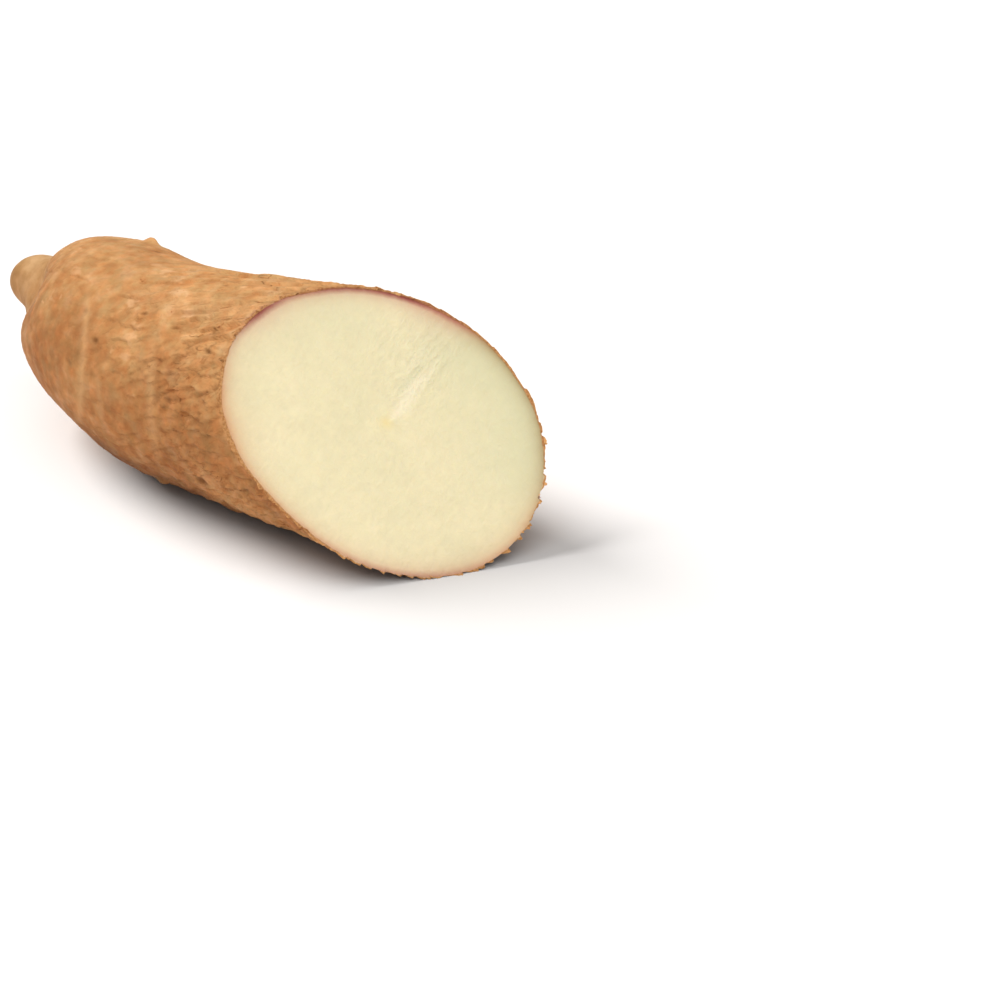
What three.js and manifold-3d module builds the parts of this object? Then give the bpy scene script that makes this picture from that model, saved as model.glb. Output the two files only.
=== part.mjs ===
// The thick end of a cassava root, cut across on a slant and lying on its belly.
// It grew as one piece, so it is one solid: a blunt body, the stub of the neck that joined
// it to the plant, the flat face that the knife left, and the flattened line it lies on.
//
// Frame: millimetres, +Z up, +X from the neck stub towards the cut. The origin is on the
// surface that the root lies on, under the middle of its box.

import * as THREE from "three";
import { mergeVertices } from "three/addons/utils/BufferGeometryUtils.js";
import Module from "manifold-3d";

// ---- Driving dimensions ----

// The root's outline at ten places along it: how far from the end of the stub, the radius,
// how high its middle is above the lowest line of the belly, and how far it strays sideways.
const STATIONS = [
  { along: 0, radius: 8.2, height: 35.5, side: 0 },
  { along: 8, radius: 8.9, height: 35.7, side: 1.5 },
  { along: 16, radius: 11.6, height: 34.4, side: 2 },
  { along: 24, radius: 17.2, height: 32.6, side: 2 },
  { along: 35, radius: 25, height: 32.9, side: 0.5 },
  { along: 56, radius: 29, height: 34.2, side: -3.4 },
  { along: 86, radius: 32, height: 32.1, side: -4.5 },
  { along: 122, radius: 34.2, height: 34.2, side: 0 },
  { along: 164, radius: 37.4, height: 37.4, side: 5.4 },
  { along: 206, radius: 41.5, height: 41.5, side: 1 },
];
const STUB_ROUNDING = 9; // the stub's end is domed over this length
const BEDDING = 0.9; // how deep the belly is flattened where it carries the root
const OVAL = 0.006; // share of the radius by which a section is out of round
const FURROW = 0.007; // depth of the three shallow furrows that wind along the root, as a share
const FURROW_TWIST = 40; // the furrows turn by one radian over this length

// The hollow beside the stub, where the shoulder draws in to it: its place along the root and
// round it in degrees, how deep it is, and how far it spreads along and round.
const HOLLOW = { along: 30, around: 143, depth: 6, length: 11, spread: 24 };

// The knife's plane: its distance from the stub's end along its own normal, and the way that
// normal turns to the side and tilts up.
const CUT = { distance: 139.2, turn: -27.3, tilt: 34.6 };

// ---- Resolution ----

const SIDES = 60;
const RINGS = 46;
const TIP_RINGS = 6; // of those, how many lie on the stub's dome

const BARK = new THREE.MeshStandardMaterial({ color: 0xc4905c, roughness: 0.85, metalness: 0 });

// ---- Shape ----

const radiusCurve = new THREE.SplineCurve(
  STATIONS.map((s) => new THREE.Vector2(s.along, s.radius)),
);
const middleCurve = new THREE.SplineCurve(
  STATIONS.map((s) => new THREE.Vector2(s.side, s.height)),
);

// How much the dome draws the stub's end in at a distance along the root, from 0 to 1.
function domeShare(along) {
  const inward = Math.max(0, 1 - along / STUB_ROUNDING);
  return Math.sqrt(1 - inward ** 2);
}

// The share by which the radius differs from a circle's at an angle round the root.
function outOfRound(along, around) {
  const oval = OVAL * Math.cos(2 * around + 0.5);
  const furrows = FURROW * Math.cos(3 * around - along / FURROW_TWIST);
  return 1 + oval + furrows;
}

// How deep the hollow is at a place: a bell along the root and round it.
function hollowDepth(along, around) {
  const turn = THREE.MathUtils.euclideanModulo(
    THREE.MathUtils.radToDeg(around) - HOLLOW.around + 180,
    360,
  ) - 180;
  const lengthways = (along - HOLLOW.along) / HOLLOW.length;
  const crossways = turn / HOLLOW.spread;
  return HOLLOW.depth * Math.exp(-(lengthways ** 2) - crossways ** 2);
}

// The rings' places on the spline, from 0 to 1: the first few crowd towards the stub's end,
// where the dome turns fastest.
function ringPlaces() {
  const domeEnd = 1 / (STATIONS.length - 1) * (STUB_ROUNDING / STATIONS[1].along);
  const dome = Array.from({ length: TIP_RINGS }, (_, i) => domeEnd * ((i + 1) / TIP_RINGS) ** 2);
  const rest = RINGS - TIP_RINGS;
  const body = Array.from({ length: rest }, (_, i) => domeEnd + (1 - domeEnd) * ((i + 1) / rest));
  return [...dome, ...body];
}

// The uncut root: a lathe turned on the rings, with each point then carried to its ring's own
// middle and moved in or out to make the section less round and to draw the hollow in.
function wholeRoot() {
  const places = ringPlaces();
  const rings = places.map((t) => ({
    ...radiusCurve.getPoint(t),
    middle: middleCurve.getPoint(t),
  }));
  const first = { x: 0, y: 0, middle: middleCurve.getPoint(0) };
  const last = { ...rings.at(-1), y: 0 };
  const all = [first, ...rings, last];
  const profile = all.map((ring, i) => new THREE.Vector2(ring.y * domeShare(ring.x), i));
  const lathe = new THREE.LatheGeometry(profile, SIDES);
  const points = lathe.getAttribute("position");
  for (let i = 0; i < points.count; i += 1) {
    const ring = all[Math.round(points.getY(i))];
    const radius = Math.hypot(points.getX(i), points.getZ(i));
    const around = Math.atan2(points.getX(i), points.getZ(i));
    const hollow = radius > 0 ? hollowDepth(ring.x, around) : 0;
    const reach = radius * outOfRound(ring.x, around) - hollow;
    points.setXYZ(
      i,
      ring.x,
      ring.middle.x + reach * Math.cos(around),
      ring.middle.y + reach * Math.sin(around) - BEDDING,
    );
  }
  return lathe;
}

// The knife's plane as a unit normal, pointing away from the root.
function cutNormal() {
  const turn = THREE.MathUtils.degToRad(CUT.turn);
  const tilt = THREE.MathUtils.degToRad(CUT.tilt);
  return new THREE.Vector3(
    Math.cos(turn) * Math.cos(tilt),
    Math.sin(turn) * Math.cos(tilt),
    Math.sin(tilt),
  );
}

// A block with one face on a plane and the rest of it on the plane's outer side.
function blockBeyond(normal, distance) {
  const side = 4 * STATIONS.at(-1).along;
  const block = new THREE.BoxGeometry(side, side, side);
  const turn = new THREE.Quaternion().setFromUnitVectors(new THREE.Vector3(1, 0, 0), normal);
  block.applyQuaternion(turn);
  block.translate(...normal.clone().multiplyScalar(distance + side / 2));
  return block;
}

// ---- Cutting ----

const wasm = await Module();
wasm.setup();

function solidFrom(geometry) {
  const bare = geometry.clone();
  bare.deleteAttribute("normal");
  bare.deleteAttribute("uv");
  const merged = mergeVertices(bare, 1e-4);
  const corners = Array.from(merged.index.array);
  const kept = corners.filter((_, i) => {
    const [a, b, c] = corners.slice(i - (i % 3), i - (i % 3) + 3);
    return a !== b && b !== c && c !== a;
  });
  return new wasm.Manifold(
    new wasm.Mesh({
      numProp: 3,
      vertProperties: merged.getAttribute("position").array,
      triVerts: new Uint32Array(kept),
    }),
  );
}

function geometryFrom(solid) {
  const mesh = solid.getMesh();
  const geometry = new THREE.BufferGeometry();
  geometry.setAttribute("position", new THREE.BufferAttribute(mesh.vertProperties, 3));
  geometry.setIndex(new THREE.BufferAttribute(mesh.triVerts, 1));
  geometry.computeVertexNormals();
  return geometry;
}

const cutRoot = solidFrom(wholeRoot())
  .subtract(solidFrom(blockBeyond(cutNormal(), CUT.distance)))
  .subtract(solidFrom(blockBeyond(new THREE.Vector3(0, 0, -1), 0)));
const rootGeometry = geometryFrom(cutRoot);

// The mesh is placed so that the middle of its box stands over the origin.
rootGeometry.computeBoundingBox();
const middle = rootGeometry.boundingBox.getCenter(new THREE.Vector3());
const root = new THREE.Mesh(rootGeometry, BARK);
root.name = "cassava_root";
root.position.set(-middle.x, -middle.y, 0);

const part = new THREE.Group();
part.add(root);

export default part;
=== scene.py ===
# %% [markdown]
# # A cassava root, cut on a slant
#
# A cassava root is the swollen storage root of a shrub. It has a corky brown bark that splits into
# long plates as the root swells, a thin purple to white rind under it, and firm cream flesh. This
# lesson makes the thick end of one root, with the stub of its neck, as a knife left it.
#
# The frame gives the root's place, its size and its resting patch. Everything below is the look.

import bpy
import numpy as np
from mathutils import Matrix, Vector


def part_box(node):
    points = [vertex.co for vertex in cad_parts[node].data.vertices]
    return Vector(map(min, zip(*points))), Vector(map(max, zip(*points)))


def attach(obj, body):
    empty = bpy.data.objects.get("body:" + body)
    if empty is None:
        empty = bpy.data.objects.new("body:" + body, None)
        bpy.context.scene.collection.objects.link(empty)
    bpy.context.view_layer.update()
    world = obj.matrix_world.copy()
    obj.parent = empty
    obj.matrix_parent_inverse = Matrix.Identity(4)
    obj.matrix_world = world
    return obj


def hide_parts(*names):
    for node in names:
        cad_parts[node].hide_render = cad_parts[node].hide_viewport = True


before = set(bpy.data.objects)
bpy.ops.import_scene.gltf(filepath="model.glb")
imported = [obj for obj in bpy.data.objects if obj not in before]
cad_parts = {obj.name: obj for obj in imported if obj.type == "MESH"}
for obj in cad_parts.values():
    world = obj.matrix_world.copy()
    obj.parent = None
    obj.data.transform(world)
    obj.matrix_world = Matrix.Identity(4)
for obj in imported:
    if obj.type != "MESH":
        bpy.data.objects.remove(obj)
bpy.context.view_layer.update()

ROOT_NODE = "cassava_root"
root_low, root_high = (np.array(corner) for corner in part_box(ROOT_NODE))
print("the root's box in millimetres:", np.round((root_high - root_low) * 1000, 1))

# %% [markdown]
# ## The shape under the bark
#
# The root could be sculpted by hand, but a grown shape like this is well told by a few sections: how
# thick it is at some places along it, how high its middle lies, and how far it strays sideways. A
# smooth curve through those sections is the same one that the frame was built from, so the skin made
# here lies on the frame without fitting. All the root's sizes are in millimetres, and they become
# metres only when a mesh is made.

# %% The sections, and a curve through them
MILLIMETRE = 0.001
TURN = 2 * np.pi

# Along the root, radius, height of the middle above the lowest line, stray sideways.
SECTIONS = np.array([
    (0, 8.2, 35.5, 0),
    (8, 8.9, 35.7, 1.5),
    (16, 11.6, 34.4, 2),
    (24, 17.2, 32.6, 2),
    (35, 25, 32.9, 0.5),
    (56, 29, 34.2, -3.4),
    (86, 32, 32.1, -4.5),
    (122, 34.2, 34.2, 0),
    (164, 37.4, 37.4, 5.4),
    (206, 41.5, 41.5, 1),
])
STUB_ROUNDING = 9
BEDDING = 0.9
OVAL = 0.006
FURROW = 0.007
FURROW_TWIST = 40
HOLLOW_ALONG, HOLLOW_AROUND = 30, np.radians(143)
HOLLOW_DEPTH, HOLLOW_LENGTH, HOLLOW_SPREAD = 6, 11, np.radians(24)


def curve_through(points, steps=80):
    """A Catmull-Rom curve. Between two points it is the cubic that passes through both, with the
    slope at each equal to half the way from the point before it to the point after it."""
    last = len(points) - 1
    place = np.linspace(0, last, last * steps + 1)
    start = np.minimum(place.astype(int), last - 1)
    share = (place - start)[:, None]
    before, here = points[np.maximum(start - 1, 0)], points[start]
    there, after = points[start + 1], points[np.minimum(start + 2, last)]
    slope_here, slope_there = (there - before) / 2, (after - here) / 2
    cubic = 2 * here - 2 * there + slope_here + slope_there
    square = 3 * there - 3 * here - 2 * slope_here - slope_there
    return cubic * share**3 + square * share**2 + slope_here * share + here


axis_curve = curve_through(SECTIONS)

# %% [markdown]
# A place on the root is told by two numbers: `run`, the distance over the surface from the stub's
# end, and `around`, the angle round the root, from 0 on the +Y side through a quarter turn on top.
# Measuring over the surface, and not along the axis, keeps the bark's pattern from being stretched
# where the shoulder swells.


# %% Angles and bells
def turn_from(around, middle):
    """How far an angle lies from a middle one, from minus half a turn to half a turn."""
    return (around - middle + np.pi) % TURN - np.pi


def degrees_from(around, middle):
    """How far an angle lies from a middle one that is given in degrees: from -180 to 180."""
    return (np.degrees(around) - middle + 180) % 360 - 180


def bell(distance, width, sharpness=2):
    """A bell curve: 1 in the middle, and e to the power of -|distance / width| ** sharpness. With a
    sharpness of 4 it has a flatter top and steeper sides."""
    return np.exp(-(np.abs(distance / width) ** sharpness))


# %% Distance over the surface
reach = np.linspace(0, 1, 4001) ** 2 * SECTIONS[-1, 0]
inward = np.clip(1 - reach / STUB_ROUNDING, 0, 1)
dome = np.sqrt(1 - inward**2)
girth_radius = np.interp(reach, axis_curve[:, 0], axis_curve[:, 1]) * dome
step_lengths = np.hypot(np.diff(reach), np.diff(girth_radius))
path = np.concatenate([[0], np.cumsum(step_lengths)])
LONGEST_RUN = path[-1]

# A distance round the root is an angle times the radius. At the stub's pole that would be nothing, and
# each mark would close to a ring, so marks are measured with a radius of at least this, in millimetres.
LEAST_RADIUS = 8


def along_at(run):
    """How far along the axis a place on the surface is."""
    return np.interp(run, path, reach)


def radius_at(run):
    """The root's radius, before it is made uneven."""
    return np.interp(run, path, girth_radius)


def middle_at(along):
    """Where the bent middle line passes: its stray sideways, and its height above the floor."""
    side = np.interp(along, axis_curve[:, 0], axis_curve[:, 3])
    height = np.interp(along, axis_curve[:, 0], axis_curve[:, 2]) - BEDDING
    return side, height


# %% [markdown]
# With that distance, the root without its bark is one function of two numbers: a circle round the bent
# middle line, a little oval and softly furrowed, with a hollow beside the stub.


# %% The smooth root
def hollow_depth(along, around):
    """The hollow beside the stub, where the shoulder draws in to it: a bell both ways."""
    lengthways = bell(along - HOLLOW_ALONG, HOLLOW_LENGTH)
    return HOLLOW_DEPTH * lengthways * bell(turn_from(around, HOLLOW_AROUND), HOLLOW_SPREAD)


def smooth_root(run, around):
    """A point of the root without its bark's relief: a circle round the bent middle line, a little
    oval, with three shallow furrows that wind slowly along the root, and the hollow."""
    along = along_at(run)
    uneven = 1 + OVAL * np.cos(2 * around + 0.5) + FURROW * np.cos(3 * around - along / FURROW_TWIST)
    radius = radius_at(run) * uneven - hollow_depth(along, around)
    middle_side, middle_height = middle_at(along)
    side = middle_side + radius * np.cos(around)
    height = middle_height + radius * np.sin(around)
    return np.stack(np.broadcast_arrays(along, side, height), axis=-1)


def unit(vectors):
    """The same directions, with a length of one."""
    return vectors / np.maximum(np.linalg.norm(vectors, axis=-1, keepdims=True), 1e-9)


def surface_directions(run, around, step=0.25):
    """Three unit vectors at a place: lengthways, sideways, and out of the root. The first two are
    differences between near places, and the third is square to both."""
    forward, backward = np.minimum(run + step, LONGEST_RUN), np.maximum(run - step, 0)
    lengthways = unit(smooth_root(forward, around) - smooth_root(backward, around))
    sideways = np.stack(np.broadcast_arrays(0 * run, -np.sin(around), np.cos(around)), axis=-1)
    outwards = unit(np.cross(sideways, lengthways))
    return lengthways, sideways, outwards


print("from the stub's end over the surface:", round(LONGEST_RUN, 1), "mm")

# %% [markdown]
# ## The knife's plane
#
# A flat cut is a plane: the points whose distance along the plane's normal is one number. The frame's
# box is centred on the cut root, so the same centring is worked out here from the smooth shape.

# %% Where the knife went through
CUT_DISTANCE = 139.2
CUT_TURN, CUT_TILT = np.radians((-27.3, 34.6))
cut_normal = np.array([
    np.cos(CUT_TURN) * np.cos(CUT_TILT),
    np.sin(CUT_TURN) * np.cos(CUT_TILT),
    np.sin(CUT_TILT),
])


def run_to_cut(surface, around, distance=CUT_DISTANCE, tries=8):
    """How far over a surface the knife's plane is met, at each angle. Each try moves the place by
    its distance from the plane, divided by how steeply the surface nears the plane."""
    run = np.full_like(around, 0.75 * LONGEST_RUN)
    for _ in range(tries):
        lengthways = surface_directions(run, around)[0]
        run = run - (surface(run, around) @ cut_normal - distance) / (lengthways @ cut_normal)
    return run


ring = np.linspace(0, TURN, 721)[:-1]
rim = smooth_root(run_to_cut(smooth_root, ring), ring)
waist = smooth_root(*np.meshgrid(np.linspace(0, 140, 281), ring))
waist = waist[waist @ cut_normal < CUT_DISTANCE]
outline = np.concatenate([rim, waist])
outline_middle = (outline.min(axis=0) + outline.max(axis=0)) / 2
frame_middle = (root_low + root_high) / 2 / MILLIMETRE
to_frame = np.array([*(frame_middle - outline_middle)[:2], 0])
print("from the stub's frame to the shared frame:", np.round(to_frame, 2), "mm")

# %% [markdown]
# ## Two kinds of chance
#
# Grown surfaces need two kinds of disorder. Soft noise joins random heights smoothly and gives
# swellings and drifts. Scattered seeds share the surface into plates, each nearest to its own seed,
# and the lines where two seeds are equally near become the splits between the plates. Both are made
# on a lattice that closes round the root, so there is no seam, and each has its own seed number, so
# the root is the same every time.


# %% Soft noise
def soft_noise(length, count, seed):
    """A function of (run, around) from -1 to 1. Random numbers stand at lattice points, length
    apart lengthways and count of them round the root, and 3t² - 2t³ eases between neighbours."""
    rows = int(LONGEST_RUN / length) + 3
    heights = np.random.default_rng(seed).random((rows, count)) * 2 - 1

    def noise(run, around):
        """The four lattice heights round a place, mixed by how near it is to each."""
        down, across = run / length, around / TURN * count
        i, j = np.floor(down).astype(int), np.floor(across).astype(int)
        s, t = down - i, across - j
        s, t = s * s * (3 - 2 * s), t * t * (3 - 2 * t)
        i, i_next, j, j_next = i % rows, (i + 1) % rows, j % count, (j + 1) % count
        near = heights[i, j] * (1 - t) + heights[i, j_next] * t
        far = heights[i_next, j] * (1 - t) + heights[i_next, j_next] * t
        return near * (1 - s) + far * s

    return noise


# %% Scattered plates
def scattered_plates(length, count, seed, scatter=0.85):
    """A function of (run, around). One seed lies at random in each cell of a lattice. It returns the
    distance in millimetres to the plate's nearest edge, how open that edge is, the plate's three
    random numbers, and how far across from its seed the place is. An edge opens by its own chance,
    and more where it runs lengthways, as its two seeds lie side by side."""
    rows = int(LONGEST_RUN / length) + 5
    luck = np.random.default_rng(seed).random((rows, count, 5))

    def seed_at(i, j):
        """Where the seed of a lattice cell lies: its middle, and a random part of scatter away."""
        found = luck[i % rows, j % count]
        return i + 0.5 + (found[..., 0] - 0.5) * scatter, j + 0.5 + (found[..., 1] - 0.5) * scatter

    def plates(run, around):
        """The nearest seed owns the place. Halfway to each seed near that one runs a line, and the
        place's distance to it is their difference on the lattice over the line's slope."""
        down, across = run / length, around / TURN * count
        width = TURN * np.maximum(radius_at(run), LEAST_RADIUS) / count
        cell_i, cell_j = np.floor(down).astype(int), np.floor(across).astype(int)
        nearest = np.full(np.shape(down), np.inf)
        own_i, own_j = cell_i, cell_j
        for step_i in (-1, 0, 1):
            for step_j in (-1, 0, 1):
                seed_down, seed_across = seed_at(cell_i + step_i, cell_j + step_j)
                apart = np.hypot(seed_down - down, seed_across - across)
                closer = apart < nearest
                nearest = np.where(closer, apart, nearest)
                own_i = np.where(closer, cell_i + step_i, own_i)
                own_j = np.where(closer, cell_j + step_j, own_j)
        own_down, own_across = seed_at(own_i, own_j)
        own_luck = luck[own_i % rows, own_j % count]
        edge, openness = np.full(np.shape(down), np.inf), np.zeros(np.shape(down))
        for step_i in (-2, -1, 0, 1, 2):
            for step_j in (-2, -1, 0, 1, 2):
                if step_i == 0 and step_j == 0:
                    continue
                there_down, there_across = seed_at(own_i + step_i, own_j + step_j)
                way_down, way_across = there_down - own_down, there_across - own_across
                middle_down, middle_across = (there_down + own_down) / 2, (there_across + own_across) / 2
                lattice_distance = (middle_down - down) * way_down + (middle_across - across) * way_across
                slope = np.hypot(way_down / length, way_across / width)
                distance = lattice_distance / slope
                nearer = distance < edge
                edge = np.where(nearer, distance, edge)
                both = own_luck[..., 2] + luck[(own_i + step_i) % rows, (own_j + step_j) % count, 2]
                chance_open = (both * 7.13) % 1
                side_by_side = (way_across / width / slope) ** 2
                openness = np.where(nearer, chance_open * (0.25 + 0.75 * side_by_side), openness)
        return edge, openness, own_luck[..., 2:], (across - own_across) * width

    return plates


# %% [markdown]
# ## The bark's relief
#
# Seen close, the bark is plates that overlap a little like shingles: each is tilted across the root,
# so a step stands at its edge, and the deeper edges are dark splits. Two sizes of plate lie over each
# other. It could be a displaced image, but plates that are looked up by numbers stay sharp at any
# size, and the same numbers give the material its tones.

# %% Sizes of the relief
# Millimetres, and degrees for the two names that say where round the root something lies. LEAN is
# how far the fibres go round for each millimetre along, at the reference radius.
PLATE_LENGTH, PLATES_AROUND = 6.2, 56
FLAKE_LENGTH, FLAKES_AROUND = 3.2, 104
SPLIT_DEPTH, SPLIT_WIDTH = 0.24, 0.55
FLAKE_DEPTH, FLAKE_WIDTH = 0.12, 0.38
PLATE_TILT, PLATE_RISE = 0.26, 0.24
FLAKE_TILT, FLAKE_RISE = 0.14, 0.09
LEAN, REFERENCE_RADIUS = 0.3, 35
BIG_SWELL, SMALL_SWELL = 0.45, 0.22
FOLD_HEIGHT, FOLD_AROUND = 0.4, 126
CREASE_RUN, CREASE_WIDTH, CREASE_DEPTH = 28, 2.4, 0.5
RING_HEIGHT = 0.05
SCAR_STRETCH = 1.7
FISSURE_WIDTH = 0.5
SMOOTH_FLANK = 12

big_swell = soft_noise(38, 6, seed=11)
small_swell = soft_noise(13, 18, seed=12)
slow_waver = soft_noise(11, 26, seed=13)
quick_waver = soft_noise(3.6, 70, seed=14)
strength_drift = soft_noise(17, 14, seed=15)
fibre = soft_noise(4.5, 170, seed=16)
crumble = soft_noise(1.9, 118, seed=17)
ring_drift = soft_noise(60, 9, seed=18)
ring_fade = soft_noise(23, 8, seed=19)
plates = scattered_plates(PLATE_LENGTH, PLATES_AROUND, seed=20)
flakes = scattered_plates(FLAKE_LENGTH, FLAKES_AROUND, seed=21)
crease_wander = soft_noise(50, 11, seed=22)
crease_drift = soft_noise(50, 7, seed=23)
folds = soft_noise(5.5, 84, seed=24)
print("plates round the root:", PLATES_AROUND, "and flakes on them:", FLAKES_AROUND)

# %% [markdown]
# Some features are too clear to leave to chance: raised rings where the root paused in its growth,
# which bow back towards the stub, a knob, pits, and a few long fissures. Each is one row of a table,
# by where it lies and how big it is.

# %% Tables of rings, scars and fissures
# Raised rings: along, width, strength, middle of the arc and its half spread in degrees, and how far
# the ring has bowed back towards the stub at 45 degrees from its middle.
RINGS = (
    (82.3, 1.7, 1.0, 168, 36, 14.5),
    (112.6, 1.7, 1.0, 177, 32, 9),
    (91, 1.3, 0.65, 178, 17, 14),
    (54, 1.6, 0.45, 105, 16, 0),
    (83, 1.6, 0.7, 290, 50, 5),
    (110, 1.6, 0.7, 335, 40, 6),
    (137, 1.7, 0.6, 250, 50, 5),
    (62, 1.5, 0.5, 300, 60, 3),
    (99, 1.4, 0.5, 30, 35, 4),
    (128, 1.5, 0.4, 75, 30, 0),
)

# Scars: along, around in degrees, radius, height. A knob stands out and a pit goes in.
SCARS = (
    (57.5, 62, 1.5, 1.7),
    (56, 60, 6, 0.5),
    (83.8, 147.3, 0.8, -0.4),
    (96.7, 126.4, 0.75, -0.4),
    (73.6, 136.4, 0.9, -0.2),
    (111.6, 96.8, 0.7, -0.35),
    (110.2, 130.4, 0.7, -0.3),
    (127, 138, 0.8, -0.4),
    (75, 164.8, 0.9, -0.2),
    (68.6, 74, 1.0, -0.25),
    (118.2, 165.2, 0.7, -0.3),
    (102.2, 157.2, 0.6, -0.2),
    (116.2, 180.8, 0.8, -0.3),
    (128, 205, 1.3, -0.5),
    (88, 40, 1.2, -0.5),
    (112, 15, 1.5, 1.1),
    (64, 330, 1.3, -0.5),
    (102, 228, 1.4, 1.0),
    (140, 310, 1.2, -0.5),
)

# Fissures: from along and around in degrees, to along and around, and depth.
FISSURES = (
    (128.6, 160.2, 136.5, 152, 0.45),
    (125.6, 188.5, 132, 194.2, 0.4),
    (109, 129.5, 114.5, 131, 0.35),
    (126, 139.5, 130, 138, 0.4),
    (117, 166, 121.5, 163.5, 0.4),
    (90, 250, 101, 246, 0.6),
    (120, 20, 129, 26, 0.5),
    (70, 320, 78, 316, 0.4),
    (140, 285, 151, 290, 0.6),
)
print("rings:", len(RINGS), "scars:", len(SCARS), "fissures:", len(FISSURES))

# %% [markdown]
# The fibres wind a little round the root, so the whole pattern leans. A pattern leans when it is
# looked up at a turned angle, and its lines bend when soft noise pushes the angle a little further.


# %% The leaning pattern
def leaned(run, around):
    """The place on a root whose fibres wind: the angle grows by LEAN millimetres of bark for each
    millimetre along, so that every line of the pattern leans by that much."""
    return around + LEAN * run / REFERENCE_RADIUS


def unrolled(run, around):
    """The place on a straight root whose sections are turned by the lean: along, and the radius
    times the leaned angle's cosine and sine. Textures of fibres are looked up there."""
    turn, radius = leaned(run, around), radius_at(run)
    return np.stack([along_at(run), radius * np.cos(turn), radius * np.sin(turn)], axis=-1)


def waver(run, around):
    """The leaned place moved sideways, so that long lines bend: slow bends of up to 0.9 millimetres
    and quick ones of up to 0.4, divided by the radius to make them angles."""
    push = 0.9 * slow_waver(run, around) + 0.4 * quick_waver(run, around)
    return leaned(run, around) + push / np.maximum(radius_at(run), 12)


# %% [markdown]
# Each row of a table becomes a bell. Rings and scars add up where they meet, and where fissures meet
# the deeper one counts. Noise bends the rings and the fissures, as nothing grows along a ruler.


# %% Rings, scars and fissures at a place
def ring_share(run, around):
    """From 0 to 1, how much a place lies on a raised ring: a bell curve across the ring and a wider
    one along its arc. The ring's line bows and drifts, and its strength comes and goes."""
    along = along_at(run) + 0.9 * ring_drift(run, around)
    fade = np.clip(0.85 + 0.45 * ring_fade(run, around), 0, 1)
    total = np.zeros(np.broadcast(run, around).shape)
    for place, width, strength, middle, spread, bow in RINGS:
        turn = degrees_from(around, middle)
        off_line = along - place + bow * (turn / 45) ** 2
        total = total + strength * bell(off_line, width) * bell(turn, spread, 4)
    return fade * total


def scar_heights(run, around):
    """Bells of each scar's own height and radius, added up. A scar is longer than it is wide."""
    along, radius = along_at(run), np.maximum(radius_at(run), LEAST_RADIUS)
    total = np.zeros(np.broadcast(run, around).shape)
    for place, angle, size, height in SCARS:
        lengthways = (along - place) / (SCAR_STRETCH * size)
        crossways = turn_from(around, np.radians(angle)) * radius / size
        total = total + height * bell(np.hypot(lengthways, crossways), 1, 2.6)
    return total


def fissure_depth(run, around):
    """How deep a place lies in a fissure, in millimetres: a bell across each fissure's line, which
    fades towards both of its ends. The line is straight on the unrolled root."""
    along, radius = along_at(run), np.maximum(radius_at(run), LEAST_RADIUS)
    total = np.zeros(np.broadcast(run, around).shape)
    for start, start_angle, end, end_angle, depth in FISSURES:
        share = np.clip((along - start) / (end - start), -0.2, 1.2)
        line = np.radians(start_angle + (end_angle - start_angle) * share)
        across = turn_from(around, line) * radius + 0.35 * quick_waver(run, around + 1)
        ends = np.clip(1 - np.abs(2 * share - 1) ** 4, 0, 1)
        total = np.maximum(total, depth * ends * bell(across, FISSURE_WIDTH))
    return total


# %% [markdown]
# The relief isn't as strong everywhere. The stub's skin is smooth, the bark roughens towards the cut,
# one flank is calm and another has loose folds, and the flesh under the bark swells and sinks too.


# %% How the relief comes and goes
def barkiness(run):
    """From 0 on the stub, whose skin is smooth, to 1 on the body."""
    return np.clip((run - 22) / 22, 0, 1) ** 1.5 * 0.9 + 0.1


def roughness(run, around):
    """How strong the bark's relief is: about a fifth near the neck and nearly the whole near the
    cut, where the root was thickest and its bark had to stretch most, with slow drifts. The smooth
    flank and a band low on the far side are calmer, and a band above that one is stronger."""
    growth = np.clip((run - 70) / 75, 0, 1)
    turn = degrees_from(around, SMOOTH_FLANK)
    calm = 1 - 0.6 * bell(turn, 38, 4) - 0.3 * bell(turn - 183, 36, 4) + 0.25 * bell(turn - 103, 26)
    return barkiness(run) * (0.2 + 0.7 * growth**1.6) * (1 + 0.4 * strength_drift(run, around)) * calm


def swelling(run, around):
    """The height of the root's own unevenness, which the flesh follows too: two soft noises."""
    uneven = BIG_SWELL * big_swell(run, around) + SMALL_SWELL * small_swell(run, around)
    return uneven * np.clip(run / 30, 0, 1)


def crease_share(run, around):
    """From 0 to 1, how much a place lies in the crease round the stub, where the bark starts: a bell
    along the root, whose line wanders and whose strength drifts."""
    place = run - CREASE_RUN - 1.5 * crease_wander(run, around)
    return np.clip(0.7 + 0.5 * crease_drift(run, around), 0, 1) * bell(place, CREASE_WIDTH)


def fold_share(run, around):
    """From 0 to 1, how wrinkled the bark is: one flank near the cut has loose folds."""
    return bell(degrees_from(around, FOLD_AROUND), 23) * np.clip((along_at(run) - 94) / 18, 0, 1)


# %% [markdown]
# Now everything is added up into one height above the smooth root. The same function tells the
# material where the splits, rings and folds are, so colour and shape can't drift apart.


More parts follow.
